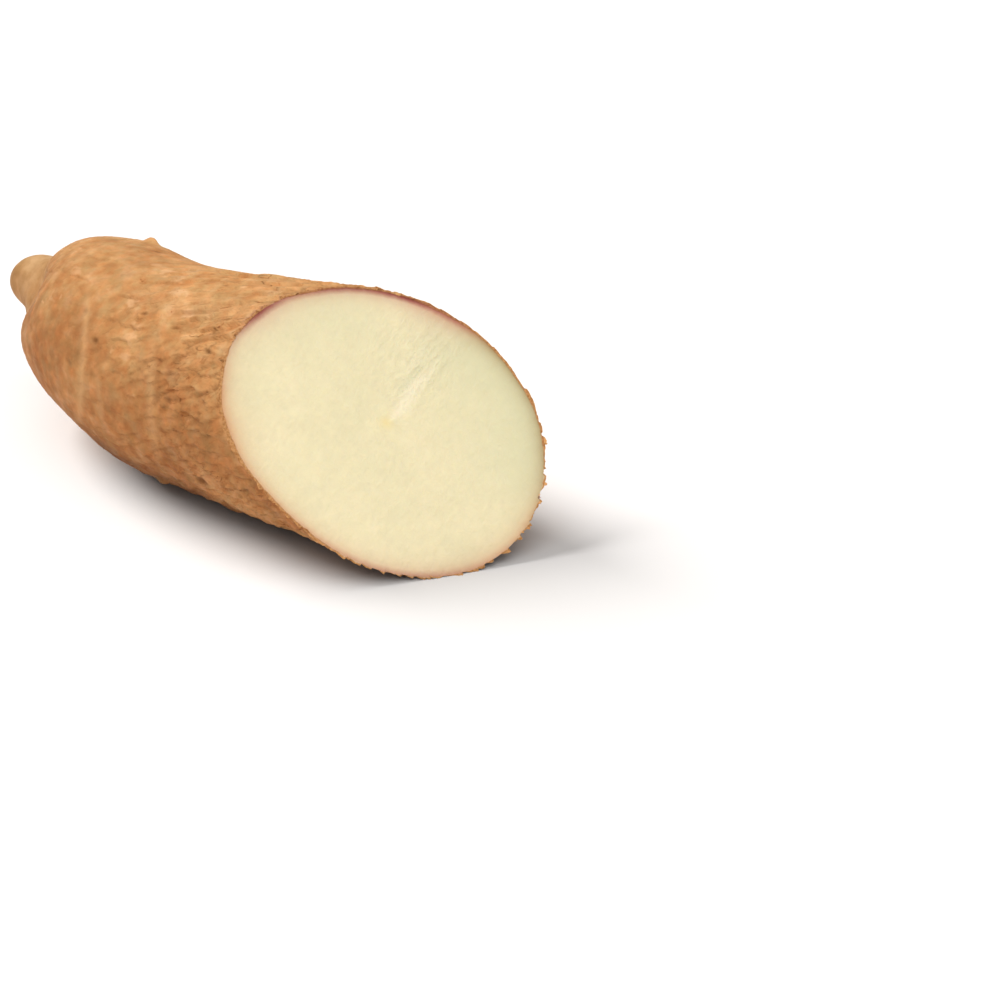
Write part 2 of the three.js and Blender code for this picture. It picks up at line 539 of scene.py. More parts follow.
# %% The bark's height
def bark(run, around):
    """The bark at a place, as a dictionary: its height above the smooth root in millimetres, and
    shares from 0 to 1 of being in a split, of being a ring, and of a plate's own tone, and from -1
    to 1 the folds."""
    bent = waver(run, around)
    rough = roughness(run, around)
    edge, openness, luck, off_seed = plates(run, bent)
    small_edge, small_openness, small_luck, small_off = flakes(run, bent + 0.1 * luck[..., 0])
    split = bell(edge, SPLIT_WIDTH) * np.clip(2.6 * openness - 1.3, 0, 1)
    small_split = bell(small_edge, FLAKE_WIDTH) * np.clip(2 * small_openness - 0.5, 0, 1)
    tilt = PLATE_TILT * (0.4 + luck[..., 1]) * off_seed + PLATE_RISE * (luck[..., 2] - 0.5)
    small_tilt = FLAKE_TILT * small_off + FLAKE_RISE * (small_luck[..., 2] - 0.5)
    rings = ring_share(run, around) * barkiness(run)
    fissures = fissure_depth(run, around)
    fold = fold_share(run, around) * folds(run, bent)
    # Fold valleys join the splits' mask, and both are painted darker: painted shade in the recesses.
    valleys = np.clip(-fold - 0.2, 0, 1)
    height = (
        swelling(run, around)
        + rough * (tilt + small_tilt - SPLIT_DEPTH * split - FLAKE_DEPTH * small_split)
        + 0.05 * rough * fibre(run, bent)
        + 0.04 * (rough + 0.1) * crumble(run, around)
        + FOLD_HEIGHT * fold
        + RING_HEIGHT * rings
        + scar_heights(run, around)
        - CREASE_DEPTH * crease_share(run, around)
        - fissures
    )
    return {
        "height": height,
        "split": np.clip(rough * (split + 0.4 * small_split) + 1.3 * fissures + valleys, 0, 1),
        "fold": fold,
        "tone": luck[..., 0] * 0.6 + small_luck[..., 0] * 0.4,
        "ring": np.clip(rings, 0, 1),
    }


def raised(heights):
    """A surface function: the smooth root with heights(run, around) added along the way out of it."""
    def surface(run, around):
        """The smooth root's point, moved outwards by its height."""
        outwards = surface_directions(run, around)[2]
        return smooth_root(run, around) + outwards * heights(run, around)[..., None]

    return surface


swollen_root = raised(swelling)
barked_root = raised(lambda run, around: bark(run, around)["height"])
sample = bark(*np.meshgrid(np.linspace(40, 180, 300), ring))["height"]
print("the relief reaches from", round(sample.min(), 2), "to", round(sample.max(), 2), "mm")

# %% [markdown]
# ## The skin's grid
#
# The root is one closed mesh. Its rows go from the pole at the stub's end to the rim of the cut. On
# the head the rows are rings, and past it they lean more and more, until the last one lies in the
# knife's plane. From there the same columns go on over the cut face to the pith, where they meet.

# %% The bark's rows
COLUMNS = 560
HEAD_ROWS, BODY_ROWS, FACE_ROWS = 46, 100, 24
HEAD_RUN = 62

around = np.arange(COLUMNS) / COLUMNS * TURN
cut_run = run_to_cut(barked_root, around)
head_share = np.linspace(0, 1, HEAD_ROWS + 1)[1:, None]
head_runs = HEAD_RUN * (0.75 * head_share + 0.25 * head_share**2) + 0 * around
body_share = np.linspace(0, 1, BODY_ROWS + 1)[1:, None]
body_runs = HEAD_RUN + (cut_run - HEAD_RUN) * body_share
runs = np.concatenate([head_runs, body_runs])
turns = np.broadcast_to(around, runs.shape)
skin = bark(runs, turns)
lengthways, sideways, outwards = surface_directions(runs, turns)
skin_points = smooth_root(runs, turns) + outwards * skin["height"][..., None]

# %% [markdown]
# A knife never leaves corky bark quite clean. Close to the cut the edge lifts here and there, and it
# is chipped back or left standing by a fraction of a millimetre.

# %% A ragged edge
EDGE_LIFT, EDGE_REACH, EDGE_CHIP = 0.3, 1.6, 0.28
lift_noise, chip_noise = soft_noise(30, 60, seed=31), soft_noise(30, 150, seed=32)
to_cut = cut_run - runs
lift = EDGE_LIFT * np.clip(lift_noise(0 * turns, turns) + 0.1, 0, 1) * np.exp(-to_cut / EDGE_REACH)
skin_points += outwards * lift[..., None]
chip = EDGE_CHIP * (0.7 * chip_noise(0 * around, around) + 0.5 * lift_noise(3 + 0 * around, around) - 0.35)
chip *= 1 - 0.6 * bell(degrees_from(around, SMOOTH_FLANK), 30)
slip = (skin_points[-1] @ cut_normal - CUT_DISTANCE - chip) / (lengthways[-1] @ cut_normal)
skin_points[-1] -= lengthways[-1] * slip[:, None]

# %% [markdown]
# The cut's own rows start at the inner edge of the cork, which is about half a millimetre thick, and
# close in on the pith. They lie closest together near the rim, where the colours change fastest.

# %% The cut face's rows
PITH = np.array([164.66, 5.67, 36.81])
BARK_THICKNESS = 0.5
thickness_noise = soft_noise(30, 34, seed=33)
bark_thickness = BARK_THICKNESS * (1 + 0.35 * thickness_noise(0 * around, around))
bark_thickness *= 1 - 0.6 * bell(degrees_from(around, SMOOTH_FLANK), 38, 4)
face_shares = np.linspace(0, 1, FACE_ROWS + 1)[1:] ** 1.5
pith = PITH + cut_normal * (CUT_DISTANCE - PITH @ cut_normal)
flesh_rim = swollen_root(run_to_cut(swollen_root, around), around)
inner_rim = flesh_rim + unit(pith - flesh_rim) * bark_thickness[:, None]
face_rows = inner_rim + (pith - inner_rim) * face_shares[:-1, None, None]
face_points = np.concatenate([inner_rim[None], face_rows])
print("rows on the bark:", len(skin_points), "and on the cut:", len(face_points))

# %% [markdown]
# ## The cut face
#
# Cassava flesh is dense and a little fibrous, so the knife leaves it nearly flat: shallow waves across
# the stroke, and one place where the fibres tore and left a pale furrow with faint ridges beside it,
# out from the pith. The marks are moved along the plane's normal, by a few hundredths of a millimetre
# and by a tenth or so in the furrow, and they fade towards the rim, which stays where the knife went.

# %% Marks on the cut
# Streaks: start and end, as distances from the pith across the cut and up it, and half width.
TORN_FURROW = (2.0, 1.1), (15.4, 13.6), 2.3
PALE_STREAK = (7.6, 13.0), (15.0, 19.0), 1.6
DARK_STREAK = (5.6, 8.4), (15.4, 16.4), 1.5
FURROW_DEPTH, STREAK_DEPTH = 0.14, 0.05

across_cut = unit(np.cross([0, 0, 1], cut_normal))
up_cut = np.cross(cut_normal, across_cut)


def on_cut(points):
    """The two distances of points from the pith, across the cut and up it, in millimetres."""
    return (points - pith) @ across_cut, (points - pith) @ up_cut


def along_streak(points, streak):
    """The two distances of points from a streak's start: along its line, and off it."""
    start, end, _ = streak
    across, up = on_cut(points)
    across, up = across - start[0], up - start[1]
    way_across, way_up = unit(np.array(end) - np.array(start))
    return across * way_across + up * way_up, up * way_across - across * way_up


def streak_share(points, streak):
    """From 0 to 1, how deep in a streak a point is: a bell across it, widest a third of the way along
    and fading at both ends. Its line bends a little."""
    start, end, half_width = streak
    length = np.hypot(end[0] - start[0], end[1] - start[1])
    down_way, off_way = along_streak(points, streak)
    off_way = off_way + 0.35 * np.sin(down_way * 0.5 - 0.6)
    place = np.clip(down_way / length, 0, 1)
    width = half_width * (0.35 + 2.6 * place * (1 - place) ** 1.2)
    ends = np.clip(down_way / 3 + 0.6, 0, 1) * np.clip((length + 4 - down_way) / 8, 0, 1)
    return bell(off_way, width) * ends


def cut_marks(points):
    """Heights on the cut, in millimetres: waves across the knife's stroke, ridges beside the furrow,
    and the streaks."""
    across, up = on_cut(points)
    stroke = 0.8 * across + 0.6 * up
    waves = 0.035 * np.sin(stroke / 2.3 + 0.9 * np.sin(up / 9)) + 0.03 * np.sin(stroke / 5.1 + 2)
    beside = along_streak(points, TORN_FURROW)[1]
    near_furrow = bell(beside, 9) * np.clip((across - 2) / 10, 0, 1)
    ridges = 0.06 * near_furrow * np.sin(beside * 1.9 + 1.3 * np.sin(across / 3.5))
    streaks = STREAK_DEPTH * (streak_share(points, DARK_STREAK) - streak_share(points, PALE_STREAK))
    return waves + ridges - streaks - FURROW_DEPTH * streak_share(points, TORN_FURROW)


from_rim = np.linalg.norm(face_points - flesh_rim, axis=-1)
face_points += cut_normal * (cut_marks(face_points) * np.clip(from_rim / 3 - 0.3, 0, 1))[..., None]

# %% [markdown]
# The tissues of a root lie in layers, so a point of the cut is cork, rind or flesh by how deep it lies
# under the bark: the root's radius there, less the distance from its middle line, and set so that
# the first row lies as deep as the cork is thick.

# %% How deep each point of the cut lies under the bark
face_along = face_points[..., 0]
middle_side, middle_height = middle_at(face_along)
from_middle = np.hypot(face_points[..., 1] - middle_side, face_points[..., 2] - middle_height)
raw_depth = np.interp(face_along, axis_curve[:, 0], axis_curve[:, 1]) - from_middle
face_depth = bark_thickness + raw_depth - raw_depth[0]
print("deepest flesh under the bark:", round(face_depth.max(), 1), "mm")

# %% [markdown]
# Several things change round the rim: how thick the cork is, and later how purple or how dry the rind
# is. Each is told by a few bells, at the angles that the rest of the root uses.

# %% Where the cork is thicker
# Thick cork: middle and spread in degrees, and millimetres more.
THICK_CORK = (
    (150, 12, 0.8),
    (90, 8, 0.6),
    (173, 11, 0.8),
    (72, 9, 0.45),
    (43, 12, 0.7),
    (12, 16, 0.4),
    (198, 14, 0.4),
)
CORK_FADE = 3


def rim_bell(middle, spread, sharpness=2):
    """A bell round the rim for every column, by its middle and spread in degrees."""
    return bell(degrees_from(around, middle), spread, sharpness)


def round_the_rim(start, bells):
    """A number for every column: a start, and bells of (middle, spread, strength) added to it."""
    return start + sum(strength * rim_bell(middle, spread) for middle, spread, strength in bells)


tissue_depth = face_depth - round_the_rim(0, THICK_CORK) * np.exp(-face_depth / CORK_FADE)
print("the thickest cork:", round((bark_thickness + round_the_rim(0, THICK_CORK)).max(), 2), "mm")

# %% [markdown]
# ## From arrays to a mesh
#
# The rows become vertices, and each square between two rows and two columns becomes a face. The
# columns wrap round, so the last one joins the first, and a fan of triangles closes each pole. Named
# attributes carry the masks to the materials.


# %% Helpers that make a mesh
def faces_between_rows(row_count, columns):
    """The corners of every square of a grid that closes round: a point, the next one round, and the
    two after them in the next row."""
    row, column = np.meshgrid(np.arange(row_count - 1), np.arange(columns), indexing="ij")
    here, beside = row * columns + column, row * columns + (column + 1) % columns
    return np.stack([here, beside, beside + columns, here + columns], axis=-1).reshape(-1, 4)


def build_mesh(name, points, squares, triangles=()):
    """A mesh from points in metres, squares and triangles, written with foreach_set."""
    squares = np.asarray(squares, dtype=np.int32)
    triangles = np.asarray(triangles, dtype=np.int32).reshape(-1, 3)
    corners = np.concatenate([squares.ravel(), triangles.ravel()])
    sides = np.concatenate([np.full(len(squares), 4), np.full(len(triangles), 3)])
    mesh = bpy.data.meshes.new(name)
    mesh.vertices.add(len(points))
    mesh.vertices.foreach_set("co", np.asarray(points, dtype=np.float32).ravel())
    mesh.loops.add(len(corners))
    mesh.loops.foreach_set("vertex_index", corners.astype(np.int32))
    mesh.polygons.add(len(sides))
    mesh.polygons.foreach_set("loop_start", (np.cumsum(sides) - sides).astype(np.int32))
    mesh.polygons.foreach_set("use_smooth", np.ones(len(sides), dtype=bool))
    mesh.update(calc_edges=True)
    mesh.validate()
    return mesh


def paint(mesh, name, values):
    """Stores one number for each vertex, or three, under a name that a material can read."""
    values = np.asarray(values, dtype=np.float32)
    kind, field = ("FLOAT_VECTOR", "vector") if values.ndim == 2 else ("FLOAT", "value")
    mesh.attributes.new(name, kind, "POINT").data.foreach_set(field, values.ravel())


def show(name, mesh, materials):
    """Puts a mesh in the scene as a piece that rides on the root's body."""
    piece = bpy.data.objects.new(name, mesh)
    bpy.context.scene.collection.objects.link(piece)
    for material in materials:
        mesh.materials.append(material)
    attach(piece, "root")
    return piece


# %% [markdown]
# Beside the relief, the bark has marks that are only colour: cream specks where the cork is worn away,
# with painted highlight on the fold ridges and along a ridge near the top, browner stains with painted
# shade on the belly and the lower flanks, painted shade under the low flank near the floor, the dark of
# each pit, dirt and painted shade in the crease round the stub, and a pale edge beside the cut with a
# bruise in it. Their places are told in tables as the scars' are, and noise frays them.

# %% Marks on the bark
# Rubbed specks: along, around in degrees, radius.
RUBBED = (
    (85.8, 93.5, 1.6), (79.8, 89.5, 1.2), (95.2, 98, 1.3), (96.8, 140.5, 1.4), (97.2, 134, 1.1),
    (98.4, 149.8, 1.0), (58.6, 119.3, 1.5), (111.2, 121.8, 1.3), (102, 110, 1.4), (89, 122, 1.1),
    (62, 45, 1.4), (92, 62, 1.2), (118, 96, 1.0), (74, 252, 1.5), (109, 20, 1.3),
    (133, 240, 1.4), (55, 300, 1.2), (88, 345, 1.5), (124, 330, 1.2), (150, 265, 1.3),
)
RUBBED_AND_HIGHLIGHT_RIDGE = 116
rubbed_edge = soft_noise(1.6, 150, seed=41)
rubbed_field = soft_noise(2.6, 84, seed=42)
rubbed_drift = soft_noise(24, 10, seed=43)


def rubbed_and_highlight_share(run, around):
    """From 0 to 1, how much the cork is worn away: round specks with a noisy edge, a scatter of
    small ones wherever a noise stands high, and both more along one ridge near the top, where they
    are partly a painted highlight."""
    along, radius = along_at(run), np.maximum(radius_at(run), LEAST_RADIUS)
    total = np.zeros(run.shape)
    for place, angle, size in RUBBED:
        crossways = turn_from(around, np.radians(angle)) * radius / size
        far = np.hypot((along - place) / (1.4 * size), crossways)
        total = np.maximum(total, np.clip(1.5 - far + 0.9 * rubbed_edge(run, around), 0, 1))
    scatter = rubbed_field(run, around) + 0.35 * rubbed_drift(run, around) + 0.3 * rubbed_edge(run, around)
    ridge = bell(degrees_from(around, RUBBED_AND_HIGHLIGHT_RIDGE), 12) * np.clip((along - 75) / 15, 0, 1)
    total, scatter = total + 0.35 * ridge, scatter + 0.2 * ridge
    return np.maximum(total, np.clip((scatter - 0.9) * 4, 0, 1)) * barkiness(run)


# %% [markdown]
# Stains are wide and soft, and a few bells and a slow noise are enough for them. The bell round the
# belly is painted shade, as the underside gets less light, and the table's bells darken places partly
# as stains and partly as painted shade. The painted shade under the low flank, near the floor, has a
# clearer edge. Beside the cut, on the upper flank, the cork is worn pale over a millimetre or two, and
# bruised in the middle of that stretch, close to the edge.

# %% Stains, painted shade and the edge beside the cut
# Stains and painted shade: along and its spread, middle and spread in degrees, sharpness of that
# spread, strength.
STAINS_AND_SHADE = (
    (60, 22, 152, 27, 2, 0.37),
    (58, 18, 86, 22, 2, 0.42),
    (73, 9, 104, 44, 4, 0.28),
    (118, 14, 86, 12, 2, 0.18),
    (84, 12, 152, 16, 2, 0.3),
    (118, 16, 170, 22, 2, 0.2),
    (35, 6, 140, 22, 2, 0.45),
    (112, 16, 146, 20, 2, 0.2),
)
# The belly's bell is painted shade: the underside is darker, as less light reaches it. The table's bells
# are partly stains and partly painted shade.
BELLY_AROUND, BELLY_SPREAD, BELLY_SHADE = 200, 44, 0.7
UNDERSIDE_SHADE_AROUND, UNDERSIDE_SHADE_SPREAD, UNDERSIDE_SHADE_SLANT = 238, 31, 0.4
patch_noise = soft_noise(21, 12, seed=44)


def stain_and_shade_share(run, around):
    """From 0 to 1, how much browner the bark is, as stains and as painted shade: a bell round the belly,
    which is painted shade, one for each row of the table, partly stains and partly painted shade, and
    patches of a soft noise."""
    along = along_at(run)
    total = BELLY_SHADE * bell(degrees_from(around, BELLY_AROUND), BELLY_SPREAD)
    for place, length, middle, spread, sharpness, strength in STAINS_AND_SHADE:
        crossways = bell(degrees_from(around, middle), spread, sharpness)
        total = total + strength * bell(along - place, length) * crossways
    return np.clip(total + 0.25 * patch_noise(run, around) - 0.03, 0, 1)


def underside_shade_share(run, around):
    """From 0 to 1, how much painted shade darkens the bark near the floor: a flat-topped bell under the
    low flank, which slants along the root and starts past the shoulder."""
    along = along_at(run)
    middle = UNDERSIDE_SHADE_AROUND + UNDERSIDE_SHADE_SLANT * (along - 96)
    under = bell(degrees_from(around, middle), UNDERSIDE_SHADE_SPREAD, 4)
    return under * np.clip((along - 62) / 20, 0, 1) * np.clip(1 + 0.15 * patch_noise(run, around), 0, 1)


# Pits are painted darker, and the crease round the stub too: dirt and painted shade in that hollow.
pit_share = np.clip(-scar_heights(runs, turns) / 0.5 + 0.7 * crease_share(runs, turns), 0, 1)
# The fold ridges are added to the specks' mask and painted lighter: painted highlight.
rubbed_and_highlight = rubbed_and_highlight_share(runs, turns) + 0.9 * np.clip(skin["fold"] - 0.25, 0, 1)
rubbed_and_highlight = rubbed_and_highlight + 0.62 * rim_bell(110, 23) * bell(to_cut, 1.7)
bruised = 0.8 * rim_bell(112, 13) * bell(to_cut, 0.8)
print("share of the bark that is rubbed:", round(float(np.mean(rubbed_and_highlight > 0.5)), 3))

# %% [markdown]
# The root's points are the stub's pole, the bark's rows, the cut's rows and the pith. A mask is a
# number for every point. One helper fills in the cut for the bark's masks, and another one fills in
# the bark for the cut's.

# %% Build the root
stub_end = smooth_root(np.array(0.0), np.array(0.0))
points = np.concatenate([
    stub_end[None],
    skin_points.reshape(-1, 3),
    face_points.reshape(-1, 3),
    pith[None],
])
points = (points + to_frame) * MILLIMETRE
points[:, 2] = np.maximum(points[:, 2], 0)
skin_count, face_count = skin_points[..., 0].size, face_points[..., 0].size
row_count = len(skin_points) + len(face_points)
squares = faces_between_rows(row_count, COLUMNS) + 1
first_row, last_row = 1 + np.arange(COLUMNS), 1 + (row_count - 1) * COLUMNS + np.arange(COLUMNS)
stub_fan = np.stack([0 * first_row, np.roll(first_row, -1), first_row], axis=-1)
pith_fan = np.stack([last_row, np.roll(last_row, -1), np.full(COLUMNS, len(points) - 1)], axis=-1)
root_mesh = build_mesh("cassava_root_skin", points, squares, np.concatenate([stub_fan, pith_fan]))


def on_skin(values, elsewhere=0.0):
    """A mask for the whole mesh from its values on the bark's rows."""
    return np.concatenate([[elsewhere], values.ravel(), np.full(face_count + 1, elsewhere)])


def on_face(values, at_pith):
    """A mask for the whole mesh from its values on the cut's rows and at the pith."""
    return np.concatenate([np.zeros(skin_count + 1), values.ravel(), [at_pith]])


skin_masks = {
    "split": skin["split"],
    "tone": skin["tone"],
    "ring": skin["ring"],
    "rough": roughness(runs, turns),
    "pit": pit_share,
    "stain_and_shade": stain_and_shade_share(runs, turns),
    "rubbed_and_highlight": rubbed_and_highlight,
    "bruised": bruised,
    "underside_shade": underside_shade_share(runs, turns),
}
for name, values in skin_masks.items():
    paint(root_mesh, name, on_skin(values))
paint(root_mesh, "neck", on_skin(1 - np.clip((runs - 20) / 26, 0, 1), elsewhere=1.0))
grain = unrolled(runs, turns)
paint(root_mesh, "grain", np.stack([on_skin(grain[..., axis]) for axis in range(3)], axis=-1))
paint(root_mesh, "depth", on_face(tissue_depth, 30))

# %% [markdown]
# The bark and the cut have their own materials. A knife leaves a sharp edge, so the edges of the two
# rows at the rim are marked as sharp, and smooth shading stops there.

# %% Which faces are cut, and the sharp rim
cut_faces = np.arange((len(skin_points) - 1) * COLUMNS, len(squares))
material_index = np.zeros(len(root_mesh.polygons), dtype=np.int32)
material_index[cut_faces] = 1
material_index[len(squares) + COLUMNS:] = 1
root_mesh.polygons.foreach_set("material_index", material_index)

edge_ends = np.empty(len(root_mesh.edges) * 2, dtype=np.int32)
root_mesh.edges.foreach_get("vertices", edge_ends)
edge_rows = (edge_ends.reshape(-1, 2) - 1) // COLUMNS
rim_row = len(skin_points) - 1
sharp = (edge_rows[:, 0] == edge_rows[:, 1]) & np.isin(edge_rows[:, 0], (rim_row, rim_row + 1))
root_mesh.attributes.new("sharp_edge", "BOOLEAN", "EDGE").data.foreach_set("value", sharp)
print("the root's triangles:", 2 * len(squares) + 2 * COLUMNS)

# %% [markdown]
# ## Materials
#
# A material is a small recipe of nodes. The helper below gives each kind of node one word, so that a
# recipe reads as a list of steps. Patterns that belong to the bark read its `grain` attribute, where
# the root is straight and its sections are turned by the lean of its fibres. When that place is
# squeezed lengthways, a texture's marks are drawn out along the fibres everywhere on the root.


# %% A short way to write nodes
def colour(code):
    """A hex colour as the linear numbers that light adds up in."""
    shown = np.array([int(code[i:i + 2], 16) for i in (1, 3, 5)]) / 255
    linear = np.where(shown <= 0.04045, shown / 12.92, ((shown + 0.055) / 1.055) ** 2.4)
    return (*linear.tolist(), 1.0)


class Recipe:
    """One material's nodes, with a short word for each kind used here."""

    def __init__(self, name):
        """An empty material, with the shader of its surface."""
        self.material = bpy.data.materials.new(name)
        self.material.use_nodes = True
        self.tree = self.material.node_tree
        self.finish = self.tree.nodes["Principled BSDF"]

    def put(self, value, socket):
        """Wires a socket to another, or sets it to a plain value."""
        if isinstance(value, bpy.types.NodeSocket):
            self.tree.links.new(value, socket)
        else:
            socket.default_value = value

    def node(self, kind, settings=(), inputs=()):
        """A node with its settings and inputs given by name or number."""
        node = self.tree.nodes.new("ShaderNode" + kind)
        for name, value in dict(settings).items():
            setattr(node, name, value)
        for name, value in dict(inputs).items():
            self.put(value, node.inputs[name])
        return node

    def place(self):
        """A point's place on the object."""
        return self.node("TexCoord").outputs["Object"]

    def mask(self, name, output="Fac"):
        """One of the mesh's own numbers, or with the output "Vector" one of its own places."""
        return self.node("Attribute", {"attribute_name": name}).outputs[output]

    def squeezed(self, vector, scale):
        """A place, each of its directions multiplied by its own number."""
        return self.node("Mapping", inputs={"Vector": vector, "Scale": scale}).outputs["Vector"]

    def noise(self, vector, scale, detail=3.0, roughness=0.55):
        """Soft noise, about 0.5."""
        inputs = {"Vector": vector, "Scale": scale, "Detail": detail, "Roughness": roughness}
        return self.node("TexNoise", inputs=inputs).outputs["Fac"]

    def cells(self, vector, scale, feature="F1"):
        """The outputs of scattered cells: the distance to a cell's middle or edge, and its colour."""
        return self.node("TexVoronoi", {"feature": feature}, {"Vector": vector, "Scale": scale}).outputs

    def wandered(self, vector, scale, reach):
        """A place pushed about by soft noise, so that what is looked up there has no straight line."""
        inputs = {"Vector": vector, "Scale": scale, "Detail": 2.0}
        push = self.node("TexNoise", inputs=inputs).outputs["Color"]
        inputs = {0: push, 1: (0.5, 0.5, 0.5)}
        centred = self.node("VectorMath", {"operation": "SUBTRACT"}, inputs).outputs[0]
        inputs = {0: centred, 1: (reach, reach, reach), 2: vector}
        return self.node("VectorMath", {"operation": "MULTIPLY_ADD"}, inputs).outputs[0]

    def maths(self, how, first, second=0.0, third=0.0):
        """Arithmetic on numbers, by the name of Blender's operation."""
        inputs = {0: first, 1: second, 2: third}
        return self.node("Math", {"operation": how}, inputs).outputs[0]

    def spread(self, value, low, high, new_low=0.0, new_high=1.0):
        """Moves the range low to high onto another, and holds it inside."""
        inputs = {"Value": value, "From Min": low, "From Max": high}
        inputs.update({"To Min": new_low, "To Max": new_high})
        return self.node("MapRange", inputs=inputs).outputs["Result"]

    def blend(self, share, first, second, how="MIX"):
        """Two colours mixed by a share."""
        settings = {"data_type": "RGBA", "blend_type": how}
        return self.node("Mix", settings, {0: share, 6: first, 7: second}).outputs[2]

    def tinted(self, base, tint, share=1.0):
        """A colour multiplied by another colour, or by a number, as far as the share says."""
        return self.blend(share, base, tint, "MULTIPLY")

    def ramp(self, share, stops):
        """A colour for each value of a share, from a list of (place, colour)."""
        node = self.node("ValToRGB", inputs={"Fac": share})
        elements = node.color_ramp.elements
        for _ in stops[2:]:
            elements.new(0.5)
        for element, (place, code) in zip(elements, stops):
            element.position = place
            element.color = colour(code)
        return node.outputs["Color"]

    def bump(self, height, distance, strength=1.0, below=None):
        """A surface direction tipped by a height, given in metres for a height of one."""
        inputs = {"Height": height, "Distance": distance, "Strength": strength}
        if below is not None:
            inputs["Normal"] = below
        return self.node("Bump", inputs=inputs).outputs["Normal"]

    def finish_with(self, inputs):
        """Wires or sets inputs of the surface's shader, by name."""
        for name, value in inputs.items():
            self.put(value, self.finish.inputs[name])


# %% [markdown]
# ### Bark
#
# Cassava bark is matt and papery. Its colour is never even: tan where the plates are clean, orange
# brown where they are thick, greyer where they have weathered, painted darker in the splits as shade
# and cream where the cork is gone. Stains dull it, and painted shade darkens its underside, the neck's
# skin is smoother, and the knife bruised the edge in one place. Each of those is one step of the
# recipe, laid over the one before it.


# %% Patterns that the steps share
def bark_patterns(recipe):
    """The places to look textures up at, and the textures that more than one step uses."""
    place, rough = recipe.place(), recipe.mask("rough")
    grain = recipe.wandered(recipe.mask("grain", "Vector"), 0.3, 3.5)
    fibres_at = recipe.squeezed(grain, (0.75, 1, 1))
    mottle = recipe.noise(place, 210.0, detail=3.0, roughness=0.5)
    blotches = recipe.noise(place, 60.0, detail=2.0)
    return {
        "place": place,
        "rough": rough,
        "relief": recipe.maths("ADD", rough, 0.1),
        "bands_at": recipe.squeezed(grain, (0.7, 0.35, 0.35)),
        "flakes_at": recipe.squeezed(grain, (0.5, 1, 1)),
        "fibres": recipe.noise(fibres_at, 0.45, detail=4.0, roughness=0.5),
        "pebbles": recipe.cells(fibres_at, 0.34, "SMOOTH_F1"),
        "mottle": mottle,
        "shade": recipe.maths("MULTIPLY_ADD", mottle, 0.6, recipe.maths("MULTIPLY", blotches, 0.4)),
    }


# %% [markdown]
# Clean cork comes first: blotched and mottled, weathered here and there, a little warmer and cooler by
# turns. Then come tones that follow the fibres: wide bands where the bark is smooth, and where it is
# rough each plate's own tone, streaks, and rounded pebbles of cork. Each pebble has a tone of its own,
# and is painted lighter on its raised middle and darker towards its edge: painted shade that follows
# its bump.


# %% Clean cork
def clean_cork(recipe, shared):
    """Colours from ramps and blends over noise, each tone multiplied on as far as it applies."""
    place, rough = shared["place"], shared["rough"]
    tans = [(0.39, "#d4975f"), (0.47, "#dea268"), (0.55, "#e8ae74"), (0.63, "#efb983")]
    base = recipe.ramp(shared["shade"], tans)
    weather = recipe.spread(recipe.noise(place, 130.0, detail=3.0), 0.5, 0.66, 0.0, 0.4)
    base = recipe.blend(weather, base, colour("#c6a06c"))
    hues = recipe.ramp(recipe.noise(place, 320.0, detail=2.0), [(0.32, "#fff5eb"), (0.68, "#f8fffb")])
    base = recipe.tinted(base, hues)

    bands = recipe.spread(recipe.noise(shared["bands_at"], 0.3, detail=3.0), 0.35, 0.65, 0.935, 1.055)
    base = recipe.tinted(base, bands, recipe.spread(rough, 0.2, 0.6, 1.0, 0.2))
    own_tone = recipe.spread(recipe.mask("tone"), 0.15, 0.85, 0.94, 1.05)
    base = recipe.tinted(base, own_tone, recipe.spread(rough, 0.1, 0.6, 0.3, 1.0))
    streaks = recipe.spread(shared["fibres"], 0.3, 0.7, 0.95, 1.045)
    base = recipe.tinted(base, streaks, recipe.spread(rough, 0.1, 0.8, 0.1, 1.0))
    # Pebbles: lighter on the raised middle, darker at the edge, painted shade that follows their bump,
    # times a tone of each pebble's own.
    pebble_tone_and_shade = recipe.maths(
        "MULTIPLY",
        recipe.spread(shared["pebbles"]["Distance"], 0.1, 0.7, 1.04, 0.95),
        recipe.spread(shared["pebbles"]["Color"], 0.25, 0.75, 0.96, 1.04),
    )
    return recipe.tinted(base, pebble_tone_and_shade)


# %% [markdown]
# Over the clean cork lie its marks. The growth rings and the worn specks are pale, and the same mask
# paints the fold ridges lighter, a painted highlight. The dashes and hairlines along the fibres and the
# splits are dark: painted shade under and between the plates and in the fold valleys. The pits are dark
# too, and the crease round the stub has dirt and painted shade in it.


